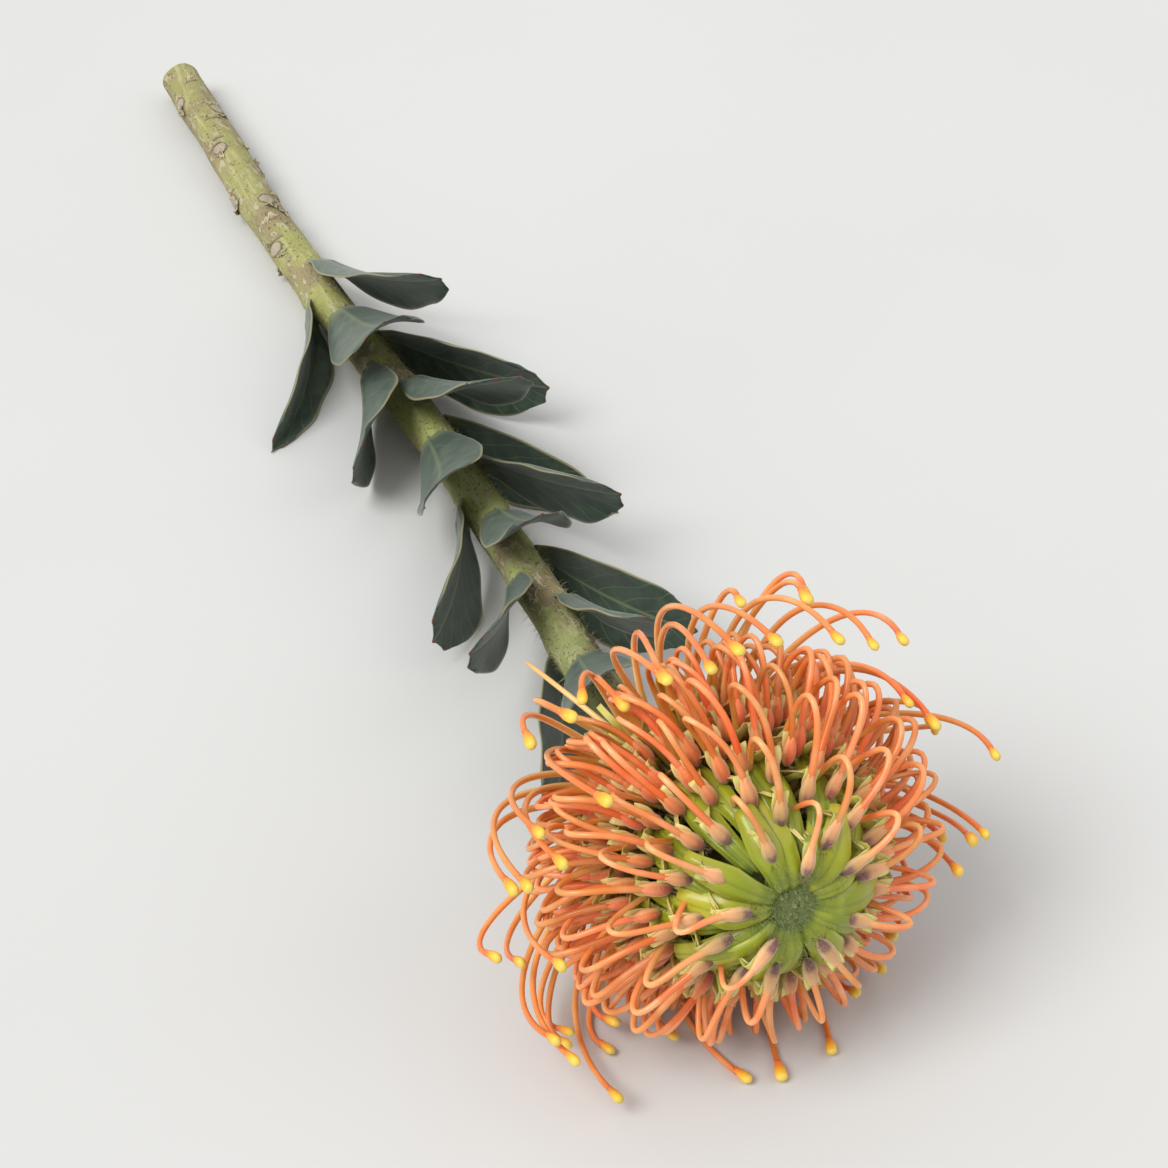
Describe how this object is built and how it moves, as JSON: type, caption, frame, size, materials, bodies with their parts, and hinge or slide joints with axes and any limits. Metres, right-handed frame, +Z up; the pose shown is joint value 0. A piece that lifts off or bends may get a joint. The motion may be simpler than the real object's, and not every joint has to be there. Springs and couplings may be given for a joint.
{
  "type": "pincushion protea flower",
  "caption": "Cut pincushion protea: round orange flower head of hooped styles with yellow tips and a green eye, on a leafy woody stem, lying on its side.",
  "frame": {"origin": "middle of the lying flower's bounding box, on the surface it lies on", "axes": "+X along the stem from its cut end to the crown of the flower head, +Y across, +Z up from the surface"},
  "size_m": [0.4006, 0.1038, 0.0891],
  "materials": {
    "stem": "matte",
    "leaf": "satin",
    "bract": "matte",
    "floret": "satin",
    "bud": "satin"
  },
  "bodies": {
    "root": {"stem": "stem", "leaf_01": "leaf", "leaf_02": "leaf", "leaf_03": "leaf", "leaf_04": "leaf", "leaf_05": "leaf", "leaf_06": "leaf", "leaf_07": "leaf", "leaf_08": "leaf", "leaf_09": "leaf", "leaf_10": "leaf", "leaf_11": "leaf", "leaf_12": "leaf", "leaf_13": "leaf", "leaf_14": "leaf", "leaf_15": "leaf", "leaf_16": "leaf", "involucre": "bract", "flower_head": "floret", "crown_buds": "bud"}
  },
  "joints": []
}
